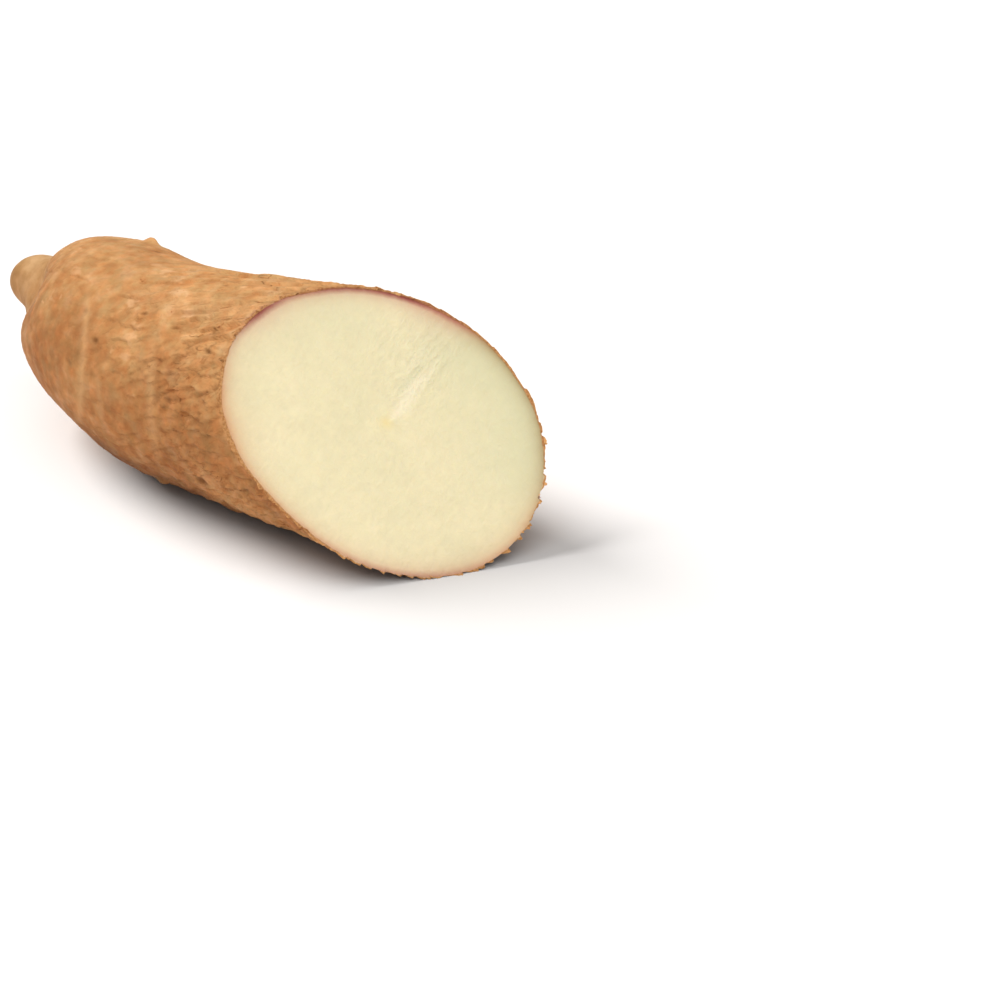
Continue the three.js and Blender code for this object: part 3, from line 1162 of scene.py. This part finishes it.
# %% Marks on the cork
def marked_cork(recipe, shared, base):
    """Each mark is blended over the base by its own share, pale ones first."""
    rings = recipe.spread(recipe.mask("ring"), 0.0, 1.0, 0.0, 0.74)
    base = recipe.blend(rings, base, colour("#fdcf96"))
    # The specks' mask also holds the fold ridges and a top ridge, painted lighter: painted highlight.
    speck_edge = recipe.maths("MULTIPLY_ADD", recipe.noise(shared["place"], 800.0), 0.6, -0.3)
    specks = recipe.spread(recipe.maths("ADD", recipe.mask("rubbed_and_highlight"), speck_edge), 0.15, 1.2, 0.0, 0.68)
    base = recipe.blend(specks, base, colour("#fbc690"))

    # Dashes, hairlines at the flakes' edges and splits are painted darker: painted shade under and between
    # the plates.
    dash_noise = recipe.noise(shared["flakes_at"], 0.55, detail=2.0, roughness=0.5)
    dashes = recipe.maths("MULTIPLY", recipe.spread(dash_noise, 0.56, 0.7, 0.0, 0.46), shared["relief"])
    base = recipe.blend(dashes, base, colour("#a5672f"))
    edges = recipe.cells(shared["flakes_at"], 0.55, "DISTANCE_TO_EDGE")["Distance"]
    hairlines_here = recipe.maths("MULTIPLY", shared["rough"], recipe.spread(dash_noise, 0.45, 0.6))
    hairlines = recipe.maths("MULTIPLY", recipe.spread(edges, 0.0, 0.11, 0.2, 0.0), hairlines_here)
    base = recipe.blend(hairlines, base, colour("#915829"))
    splits = recipe.spread(recipe.mask("split"), 0.1, 0.8, 0.0, 0.36)
    base = recipe.blend(splits, base, colour("#8a5122"))
    pits = recipe.spread(recipe.mask("pit"), 0.05, 0.8, 0.0, 0.75)
    return recipe.blend(pits, base, colour("#80501f"))


# %% [markdown]
# Last come the neck's own skin, and then the stains, the painted shade and the bruise over all of it.
# The finish also has a relief that is too fine for the mesh: the fibres, the pebbles and a fine grain.


# %% Neck, stains and painted shade
def stained_and_shaded_bark(recipe, shared, base):
    """Stains and painted shade multiply the bark's colour, so its pattern still shows through them."""
    neck = recipe.ramp(shared["shade"], [(0.38, "#bb8b57"), (0.5, "#cc9c67"), (0.62, "#dbad79")])
    base = recipe.blend(recipe.mask("neck"), base, neck)
    patches = recipe.spread(recipe.noise(shared["place"], 340.0, detail=3.0), 0.4, 0.62, 0.87, 1.09)
    base = recipe.tinted(base, recipe.tinted(colour("#bfa385"), patches), recipe.mask("stain_and_shade"))
    # The low flank near the floor is painted darker: painted shade.
    base = recipe.tinted(base, colour("#a8977e"), recipe.mask("underside_shade"))
    return recipe.blend(recipe.mask("bruised"), base, colour("#8c4a3c"))


# %% Fine relief, and the finished bark
def bark_relief(recipe, shared):
    """Three bumps, one over the other, all stronger where the bark is rough."""
    fine = recipe.noise(shared["flakes_at"], 2.6, detail=4.0, roughness=0.65)
    layers = ((shared["fibres"], 0.4), (shared["pebbles"]["Distance"], -1.1), (fine, 0.08))
    relief = None
    for height, millimetres in layers:
        height = recipe.maths("MULTIPLY", shared["relief"], height)
        relief = recipe.bump(height, millimetres * MILLIMETRE, below=relief)
    return relief


def bark_material():
    """The bark's finish: its clean cork, the marks on it, the stains and painted shade over them, and the
    relief.
    """
    recipe = Recipe("bark")
    shared = bark_patterns(recipe)
    base = marked_cork(recipe, shared, clean_cork(recipe, shared))
    recipe.finish_with({
        "Base Color": stained_and_shaded_bark(recipe, shared, base),
        "Roughness": recipe.spread(shared["mottle"], 0.3, 0.7, 0.95, 0.72),
        "Specular IOR Level": 0.3,
        "Normal": bark_relief(recipe, shared),
    })
    return recipe.material


bark_finish = bark_material()
print("nodes in the bark:", len(bark_finish.node_tree.nodes))

# %% [markdown]
# ### Rind and flesh
#
# On the cut the tissues lie in rings, and what decides a point's colour is how deep it is under the
# bark: about half a millimetre of brown cork, a thin purple skin that blurs to pink, a warm rind that
# fades over two millimetres or so, and then cream flesh. The `depth` mask holds that depth, in
# millimetres, so every ring is one step of the recipe. The purple comes and goes round the rim, as it
# does on the plant. Flesh and rind are painted darker and a little greener towards one side of the rim,
# near the top and along one streak: painted shade.


# %% Flesh
def flesh_colour(recipe, place, strokes):
    """Faint clouds and veins, the knife's strokes, and over them the painted shade on one side, the
    torn streaks and the pith, each by its mask."""
    tissue = recipe.ramp(recipe.noise(place, 34.0, detail=3.0), [(0.36, "#e4d9b0"), (0.64, "#ebdeb5")])
    veins = recipe.noise(place, 420.0, detail=5.0, roughness=0.7)
    tissue = recipe.tinted(tissue, recipe.spread(veins, 0.3, 0.7, 0.965, 1.03))
    dabs = recipe.noise(place, 150.0, detail=2.0)
    tissue = recipe.tinted(tissue, recipe.spread(dabs, 0.38, 0.62, 0.99, 1.01))
    stroke_tone = recipe.spread(strokes, 0.36, 0.64, 0.94, 1.04)
    tissue = recipe.tinted(tissue, stroke_tone, recipe.mask("strokes"))
    for name, tone in (("painted_flesh_shade", "#d3d1a9"), ("pale", "#f8ebcb"), ("pith", "#ebd694")):
        tissue = recipe.blend(recipe.mask(name), tissue, colour(tone))
    return tissue


# %% Rind over the flesh
RIND_FADE = 0.6
SEAM_DEPTH = 2.6


def rind_over(recipe, tissue, depth, ragged_depth, strong_blush):
    """The rind's share is RIND_FADE to the power of how deep it lies under the cork. A faint seam
    runs under it, and a purple skin lies on it where it blushes."""
    rind_depth = recipe.maths("MAXIMUM", recipe.maths("SUBTRACT", depth, BARK_THICKNESS), 0.0)
    rind_depth = recipe.maths("MULTIPLY", rind_depth, recipe.mask("fade"))
    warm = recipe.maths("MULTIPLY", recipe.maths("POWER", RIND_FADE, rind_depth), recipe.mask("warm"))
    # On the shaded side the rind is painted duller and greener: painted shade.
    rind = recipe.blend(recipe.mask("shaded_rind"), colour("#cf9a6c"), colour("#a68d5d"))
    rind = recipe.blend(recipe.mask("blush"), rind, colour("#c47866"))
    tissue = recipe.blend(warm, tissue, rind)
    from_seam = recipe.maths("ABSOLUTE", recipe.maths("SUBTRACT", depth, SEAM_DEPTH))
    tissue = recipe.blend(recipe.spread(from_seam, 0.0, 0.4, 0.1, 0.0), tissue, colour("#d0c498"))
    purple_here = recipe.spread(ragged_depth, 0.6, 2.0, 0.85, 0.0)
    purple = recipe.maths("MULTIPLY", purple_here, strong_blush)
    return recipe.blend(purple, tissue, colour("#8c3a30"))


# %% [markdown]
# The cork is brown, and stained where the rind under it blushes. The relief is a soft unevenness, the
# knife's strokes, a fine grain, and the crumbs of the cork. Flesh lets a little light in, which is
# what the subsurface inputs are for: a quarter of it, over about a millimetre.


# %% The finished cut
def cut_relief(recipe, place, strokes, cork_share):
    """Four bumps, one over the other. The strokes' is held to their mask, and the last to the cork."""
    relief = recipe.bump(recipe.noise(place, 210.0, detail=5.0, roughness=0.6), 0.7 * MILLIMETRE, 0.5)
    stroke_height = recipe.maths("MULTIPLY", strokes, recipe.mask("strokes"))
    relief = recipe.bump(stroke_height, 1.2 * MILLIMETRE, 0.5, below=relief)
    relief = recipe.bump(recipe.noise(place, 1500.0, detail=3.0), 0.05 * MILLIMETRE, below=relief)
    crumbs = recipe.maths("MULTIPLY", cork_share, recipe.noise(place, 2500.0))
    return recipe.bump(crumbs, 0.3 * MILLIMETRE, below=relief)


def cut_material():
    """The cut's finish: flesh, rind and cork by their depth under the bark. Noise makes the cork's
    edge ragged, and blurs the rind a little more."""
    recipe = Recipe("cut_flesh")
    place = recipe.place()
    ragged = recipe.maths("MULTIPLY_ADD", recipe.noise(place, 500.0, detail=4.0), 0.6, -0.3)
    blur = recipe.maths("MULTIPLY_ADD", recipe.noise(place, 120.0), 0.5, -0.25)
    ragged_depth = recipe.maths("ADD", recipe.mask("depth"), ragged)
    depth = recipe.maths("ADD", ragged_depth, blur)
    strokes_at = recipe.wandered(recipe.mask("stroke_place", "Vector"), 0.35, 2.2)
    strokes = recipe.noise(recipe.squeezed(strokes_at, (0.3, 0.8, 1)), 1.0, detail=3.0)
    strong_blush = recipe.maths("POWER", recipe.mask("blush"), 2.0)

    tissue = flesh_colour(recipe, place, strokes)
    tissue = rind_over(recipe, tissue, depth, ragged_depth, strong_blush)
    cork_share = recipe.spread(ragged_depth, 0.3, 0.5, 1.0, 0.0)
    cork = recipe.ramp(recipe.noise(place, 1400.0), [(0.35, "#a8713f"), (0.6, "#cc965f")])
    cork = recipe.blend(recipe.maths("MULTIPLY", strong_blush, 0.85), cork, colour("#8f4a38"))
    recipe.finish_with({
        "Base Color": recipe.blend(cork_share, tissue, cork),
        "Roughness": recipe.spread(cork_share, 0.0, 1.0, 0.5, 0.9),
        "Specular IOR Level": 0.3,
        "Subsurface Weight": 0.25,
        "Subsurface Radius": (1.0, 0.7, 0.4),
        "Subsurface Scale": 1.2 * MILLIMETRE,
        "Normal": cut_relief(recipe, place, strokes, cork_share),
    })
    return recipe.material


cut_finish = cut_material()
print("nodes in the cut:", len(cut_finish.node_tree.nodes))

# %% [markdown]
# The recipe's masks come last, as they are shapes on the cut: how purple, how warm and how quick to
# fade the rind is round the rim, where the flesh and rind are painted darker and greener as shade, and
# where the knife tore it.

# %% Masks round the rim
# Each bell: middle and spread in degrees, and strength.
BLUSH_BELLS = (
    (111, 17, 1.0),
    (136, 13, 0.2),
    (80, 13, 0.75),
    (56, 15, 1.0),
    (36, 9, 0.45),
    (255, 40, 0.6),
)
WARM_BELLS = ((132, 12, -0.28), (162, 16, 0.2), (32, 22, 0.3))
FADE_BELLS = ((172, 18, -0.3), (42, 18, -0.35), (110, 16, -0.2))
# The side of the rim where flesh and rind are painted darker and greener: painted shade.
SHADED_SIDE = -2

rim_masks = {
    "blush": round_the_rim(0.02, BLUSH_BELLS),
    "warm": round_the_rim(0.78, WARM_BELLS),
    "fade": round_the_rim(1, FADE_BELLS),
    "shaded_rind": rim_bell(SHADED_SIDE, 43, 4),
}
for name, values in rim_masks.items():
    paint(root_mesh, name, on_face(np.broadcast_to(np.clip(values, 0, 1.2), face_depth.shape), 0))
print("masks round the rim:", ", ".join(rim_masks))

# %% Masks of the flesh
down_furrow, off_furrow = along_streak(face_points, TORN_FURROW)
strokes = 0.25 + bell(down_furrow - 14, 10) * bell(off_furrow - 1, 4.5)
strokes += 0.5 * bell(down_furrow - 20, 13) * bell(off_furrow - 8, 11)
# Painted shade on the flesh: darker and greener towards one side of the rim, near the top, and along the
# dark streak.
painted_flesh_shade = 0.75 * rim_bell(SHADED_SIDE, 48, 4) * np.clip(1 - face_depth / 28, 0, 1) ** 1.3
painted_flesh_shade += 0.35 * rim_bell(85, 30) * np.clip(1 - face_depth / 20, 0, 1)
painted_flesh_shade = np.maximum(painted_flesh_shade, 0.5 * streak_share(face_points, DARK_STREAK))
pale = 0.58 * streak_share(face_points, TORN_FURROW) + 0.22 * streak_share(face_points, PALE_STREAK)
from_pith = np.linalg.norm(face_points - pith, axis=-1)
PITH_STRENGTH, PITH_RADIUS = 0.75, 1.5

paint(root_mesh, "strokes", on_face(strokes, 0.3))
paint(root_mesh, "painted_flesh_shade", on_face(painted_flesh_shade, 0))
paint(root_mesh, "pale", on_face(pale, 0.2))
paint(root_mesh, "pith", on_face(PITH_STRENGTH * bell(from_pith, PITH_RADIUS), PITH_STRENGTH))
stroke_place = np.zeros((len(points), 3))
stroke_place[:, 0] = on_face(down_furrow, 0)
stroke_place[:, 1] = on_face(off_furrow, 0)
paint(root_mesh, "stroke_place", stroke_place)

# %% The finished root
root_piece = show("cassava_root_skin", root_mesh, (bark_finish, cut_finish))
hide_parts(ROOT_NODE)
print("the root's materials:", ", ".join(material.name for material in root_mesh.materials))

# %% [markdown]
# ## Loose flakes
#
# The outermost cork peels. Each flake is a thin sheet with two faces and closed edges: one long side
# is sunk in the bark, and the other is lifted off it a little. Flakes could be scattered copies of one
# sheet, but each is made where it lies, so it follows the bark under both of its sides. All of them
# are worked out at once, as one array of sheets, and become a single piece.


# %% Thin closed sheets
def closed_sheets(tops, downwards):
    """Points and squares of many thin sheets. tops is (sheets, rows, columns, 3), and downwards is
    the way and distance from the top of each point to its underside."""
    sheets, rows, columns = tops.shape[:3]
    count = rows * columns
    points = np.concatenate([part.reshape(sheets, count, 3) for part in (tops, tops + downwards)], axis=1)
    number = np.arange(count).reshape(rows, columns)
    corners = number[:-1, :-1], number[:-1, 1:], number[1:, 1:], number[1:, :-1]
    top = np.stack(corners, axis=-1).reshape(-1, 4)
    bottom = top[:, ::-1] + count
    border = np.concatenate([number[0, :], number[1:, -1], number[-1, -2::-1], number[-2:0:-1, 0]])
    onward = np.roll(border, -1)
    walls = np.stack([onward, border, border + count, onward + count], axis=-1)
    pattern = np.concatenate([top, bottom, walls])
    squares = pattern[None] + (np.arange(sheets) * 2 * count)[:, None, None]
    return points.reshape(-1, 3), squares.reshape(-1, 4)


# %% Where the flakes lie
# Most flakes lie anywhere past the shoulder and are strips. A few torn ones are wider, and lie near
# the cut at one place round the rim.
FLAKE_COUNT = 90
FLAKE_THICKNESS = 0.09
FIRST_FLAKE, FLAKES_END = 85, 4
TORN_SHARE, TORN_AROUND, TORN_SPREAD, TORN_REACH = 0.06, np.radians(132), np.radians(16), 16
chance = np.random.default_rng(61)

torn_off = chance.uniform(0, 1, FLAKE_COUNT) < TORN_SHARE
flake_around = np.where(
    torn_off, chance.normal(TORN_AROUND, TORN_SPREAD, FLAKE_COUNT), chance.uniform(0, TURN, FLAKE_COUNT)
)
flake_cut = np.interp(flake_around, around, cut_run, period=TURN)
flake_run = np.where(
    torn_off,
    flake_cut - 3 - TORN_REACH * chance.uniform(0, 1, FLAKE_COUNT) ** 1.2,
    FIRST_FLAKE + (flake_cut - FLAKES_END - FIRST_FLAKE) * chance.uniform(0, 1, FLAKE_COUNT) ** 0.6,
)
flake_length = chance.uniform(2.2, 5.6, FLAKE_COUNT)
flake_width = chance.uniform(0.6, 1.7, FLAKE_COUNT) * chance.choice((-1, 1), FLAKE_COUNT, p=(0.2, 0.8))
flake_width = np.where(torn_off, chance.uniform(1.0, 2.2, FLAKE_COUNT), flake_width)
flake_lift = (0.04 + 0.3 * chance.uniform(0, 1, FLAKE_COUNT) ** 2) * roughness(flake_run, flake_around)
flake_lift = np.where(torn_off, chance.uniform(0.03, 0.22, FLAKE_COUNT), flake_lift)
flake_slant = -LEAN + chance.normal(0, 0.15, FLAKE_COUNT)
print("flakes:", FLAKE_COUNT, "of which torn:", int(torn_off.sum()))

# %% [markdown]
# A flake's sheet has rows along it and columns over it, from the sunk side to the free one. Its
# height is that of the bark under both sides, mixed; less the depth that it is sunk by, and plus its
# lift, which grows towards the free side.

# %% Sheets of the flakes
SHEET_ROWS, SHEET_COLUMNS = 7, 4
FLAKE_SUNK = 0.14


def per_sheet(values):
    """One number for each sheet, shaped so that it meets all of the sheet's rows and columns."""
    return values[:, None, None]


down = np.linspace(0, 1, SHEET_ROWS)[None, :, None]
over = np.linspace(0, 1, SHEET_COLUMNS)[None, None, :]
over = np.where(per_sheet(flake_width) > 0, over, over[..., ::-1])
bulge = 0.15 + 0.85 * np.sin(np.pi * down) ** 0.7
frayed = 1 + 0.35 * chance.uniform(-1, 1, (FLAKE_COUNT, SHEET_ROWS, 1))
sheet_run = per_sheet(flake_run) + per_sheet(flake_length) * (down + 0 * over - 0.5)
sheet_radius = radius_at(sheet_run)
sunk_side = per_sheet(flake_around) + per_sheet(flake_slant * flake_length) * down / sheet_radius
sheet_width = per_sheet(flake_width) * bulge * frayed / sheet_radius
sheet_around = sunk_side + sheet_width * over
free_side = sunk_side + sheet_width
seat, free_seat = (bark(sheet_run, side)["height"] for side in (sunk_side, free_side))
seat = seat + (free_seat - seat) * over
sheet_height = seat - FLAKE_SUNK + (FLAKE_SUNK + per_sheet(flake_lift) * bulge) * over**1.2
sheet_out = surface_directions(sheet_run, sheet_around)[2]
sheet_tops = smooth_root(sheet_run, sheet_around) + sheet_out * sheet_height[..., None]
flake_points, flake_squares = closed_sheets(sheet_tops, -FLAKE_THICKNESS * sheet_out)
print("triangles of the flakes:", 2 * len(flake_squares))

# %% [markdown]
# Along the cut the knife left a fringe: short tongues of bark that stand past the edge by up to most
# of a millimetre. They start sunk in the bark, taper, and curl away from it.

# %% A fringe along the cut
# Where the fringe is: middle and half spread in degrees, and how many tongues.
FRINGE_PLACES = ((334, 16, 9), (150, 90, 6), (40, 60, 5), (250, 60, 6))
FRINGE_SUNK = 0.12
fringe_around = np.radians(np.concatenate([
    middle + spread * chance.uniform(-1, 1, number) for middle, spread, number in FRINGE_PLACES
]))
FRINGE_COUNT = len(fringe_around)
fringe_start = np.interp(fringe_around, around, cut_run, period=TURN) - 1.0
fringe_length = 1.0 + chance.uniform(0.0, 0.7, FRINGE_COUNT)
fringe_width = chance.uniform(0.7, 2.0, FRINGE_COUNT)
fringe_curl = chance.uniform(0.0, 0.35, FRINGE_COUNT)
across_sheet = np.linspace(-0.5, 0.5, SHEET_COLUMNS)[None, None, :]
taper = 1 - 0.6 * down**2
fringe_run = per_sheet(fringe_start) + per_sheet(fringe_length) * (down + 0 * across_sheet)
fringe_jitter = chance.uniform(-0.1, 0.1, (FRINGE_COUNT, SHEET_ROWS, SHEET_COLUMNS))
fringe_span = per_sheet(fringe_width) * taper * across_sheet + fringe_jitter
fringe_turn = per_sheet(fringe_around) + fringe_span / radius_at(fringe_run)
fringe_seat = bark(per_sheet(fringe_start) + 0 * fringe_run, fringe_turn)["height"]
fringe_out = surface_directions(fringe_run, fringe_turn)[2]
fringe_height = fringe_seat - FRINGE_SUNK + per_sheet(fringe_curl * fringe_length) * down**2
fringe_tops = smooth_root(fringe_run, fringe_turn) + fringe_out * fringe_height[..., None]
fringe_points, fringe_squares = closed_sheets(fringe_tops, -FLAKE_THICKNESS * fringe_out)
print("tongues of the fringe:", FRINGE_COUNT)

# %% [markdown]
# Flakes and fringe become one mesh with the bark's material. They get the masks that matter on a loose
# sheet: the grain, a tone of its own, how rough the bark is where it lies, and how much it is stained
# and painted darker as shade there. The other masks count as nothing there.

# %% Build the flakes
loose_points = (np.concatenate([flake_points, fringe_points]) + to_frame) * MILLIMETRE
loose_points[:, 2] = np.maximum(loose_points[:, 2], 0)
loose_squares = np.concatenate([flake_squares, fringe_squares + len(flake_points)])
loose_mesh = build_mesh("bark_flakes", loose_points, loose_squares)


def both_faces(top_values):
    """A mask for closed sheets: the underside of each sheet repeats its top."""
    flat = np.asarray(top_values).reshape(len(top_values), -1)
    return np.concatenate([flat, flat], axis=1).ravel()


sheet_runs = np.concatenate([both_faces(sheet_run), both_faces(fringe_run)])
sheet_turns = np.concatenate([both_faces(sheet_around), both_faces(fringe_turn)])
paint(loose_mesh, "grain", unrolled(sheet_runs, sheet_turns))
own_tones = chance.uniform(0.1, 0.8, FLAKE_COUNT + FRINGE_COUNT)
paint(loose_mesh, "tone", np.repeat(own_tones, 2 * SHEET_ROWS * SHEET_COLUMNS))
paint(loose_mesh, "rough", roughness(sheet_runs, sheet_turns))
paint(loose_mesh, "stain_and_shade", stain_and_shade_share(sheet_runs, sheet_turns))
show("bark_flakes", loose_mesh, (bark_finish,))
print("triangles of all loose bark:", 2 * len(loose_squares))

# %% [markdown]
# ## Floor, light and camera
#
# The root lies on a plain paper floor. A white world lights it from all sides, as a light tent does,
# and one large soft lamp nearly overhead gives the bark its relief. The shadow of such a lamp would be
# hidden under the root, so a second lamp, on the stub's side, lights only the floor: it makes the
# paper white and leaves it grey where the root stands in its way. The paper's own colour is a middle
# grey, because both lamps and the world add up on it.

# %% Floor
FLOOR_HALF = 4.0
FLOOR_COLOUR = (0.437, 0.421, 0.41, 1)
floor_corners = FLOOR_HALF * np.array([(-1, -1, 0), (1, -1, 0), (1, 1, 0), (-1, 1, 0)])
floor_mesh = build_mesh("floor", floor_corners, [(0, 1, 2, 3)])
floor = bpy.data.objects.new("floor", floor_mesh)
bpy.context.scene.collection.objects.link(floor)
floor_recipe = Recipe("floor_paper")
floor_recipe.finish_with({"Base Color": FLOOR_COLOUR, "Roughness": 0.9, "Specular IOR Level": 0.1})
floor_mesh.materials.append(floor_recipe.material)

# %% [markdown]
# The camera looks down on the root by 28 degrees, from the side of the cut. Its place is told by the
# point that it looks at, its distance from that point in millimetres, and two angles.

# %% Camera
VIEW_TURN, VIEW_RISE = np.radians((44.206, 28))
VIEW_DISTANCE = 675.4
VIEW_TARGET = np.array([169.352, 45.989, -BEDDING])
FOCAL_IN_WIDTHS = 2.3
SENSOR_WIDTH = 36

to_camera = np.array([
    np.sin(VIEW_TURN) * np.cos(VIEW_RISE),
    -np.cos(VIEW_TURN) * np.cos(VIEW_RISE),
    np.sin(VIEW_RISE),
])
camera_right = np.array([np.cos(VIEW_TURN), np.sin(VIEW_TURN), 0])
camera_up = np.cross(to_camera, camera_right)


def place_facing(obj, position, right, up, back):
    """Sets an object at a position, in metres, with its own three directions."""
    matrix = np.eye(4)
    matrix[:3, :3] = np.stack([right, up, back], axis=1)
    matrix[:3, 3] = position
    obj.matrix_world = matrix.T.tolist()


camera_data = bpy.data.cameras.new("camera")
camera_data.sensor_width = SENSOR_WIDTH
camera_data.lens = FOCAL_IN_WIDTHS * SENSOR_WIDTH
camera = bpy.data.objects.new("camera", camera_data)
bpy.context.scene.collection.objects.link(camera)
camera_position = (VIEW_TARGET + to_frame + to_camera * VIEW_DISTANCE) * MILLIMETRE
place_facing(camera, camera_position, camera_right, camera_up, to_camera)
bpy.context.scene.camera = camera
print("the camera stands at", np.round(camera_position, 3))

# %% [markdown]
# A sun lamp lights every place from the same side, and a wide angle makes its shadows soft, as a big
# soft box does. Light linking holds the second one to the floor.


# %% Light
def soft_sun(name, direction, softness, strength):
    """A wide, even lamp in a direction from the root. A strength of one lights a white sheet that
    faces it fully, and softness is how wide it looks in the sky, in degrees."""
    back = unit(np.array(direction, dtype=float))
    right = unit(np.cross([0, 1, 0], back))
    lamp_data = bpy.data.lights.new(name, "SUN")
    lamp_data.angle = np.radians(softness)
    lamp_data.energy = strength * np.pi
    lamp = bpy.data.objects.new(name, lamp_data)
    bpy.context.scene.collection.objects.link(lamp)
    place_facing(lamp, back, right, np.cross(back, right), back)
    return lamp


KEY_DIRECTION, KEY_SOFTNESS, KEY_STRENGTH = (0.25, -0.25, 1), 70, 0.62
FLOOR_LIGHT_DIRECTION, FLOOR_LIGHT_SOFTNESS, FLOOR_LIGHT_STRENGTH = (-0.97, -0.26, 0.84), 36, 2.4
TENT_STRENGTH = 0.5
soft_sun("key", KEY_DIRECTION, KEY_SOFTNESS, KEY_STRENGTH)
floor_lamp = soft_sun("floor_light", FLOOR_LIGHT_DIRECTION, FLOOR_LIGHT_SOFTNESS, FLOOR_LIGHT_STRENGTH)
only_floor = bpy.data.collections.new("only_floor")
only_floor.objects.link(floor)
floor_lamp.light_linking.receiver_collection = only_floor

world = bpy.data.worlds.new("light_tent")
world.use_nodes = True
background = world.node_tree.nodes["Background"]
background.inputs["Color"].default_value = (1, 1, 1, 1)
background.inputs["Strength"].default_value = TENT_STRENGTH
bpy.context.scene.world = world
bpy.context.scene.view_settings.view_transform = "Standard"
bpy.context.scene.view_settings.look = "None"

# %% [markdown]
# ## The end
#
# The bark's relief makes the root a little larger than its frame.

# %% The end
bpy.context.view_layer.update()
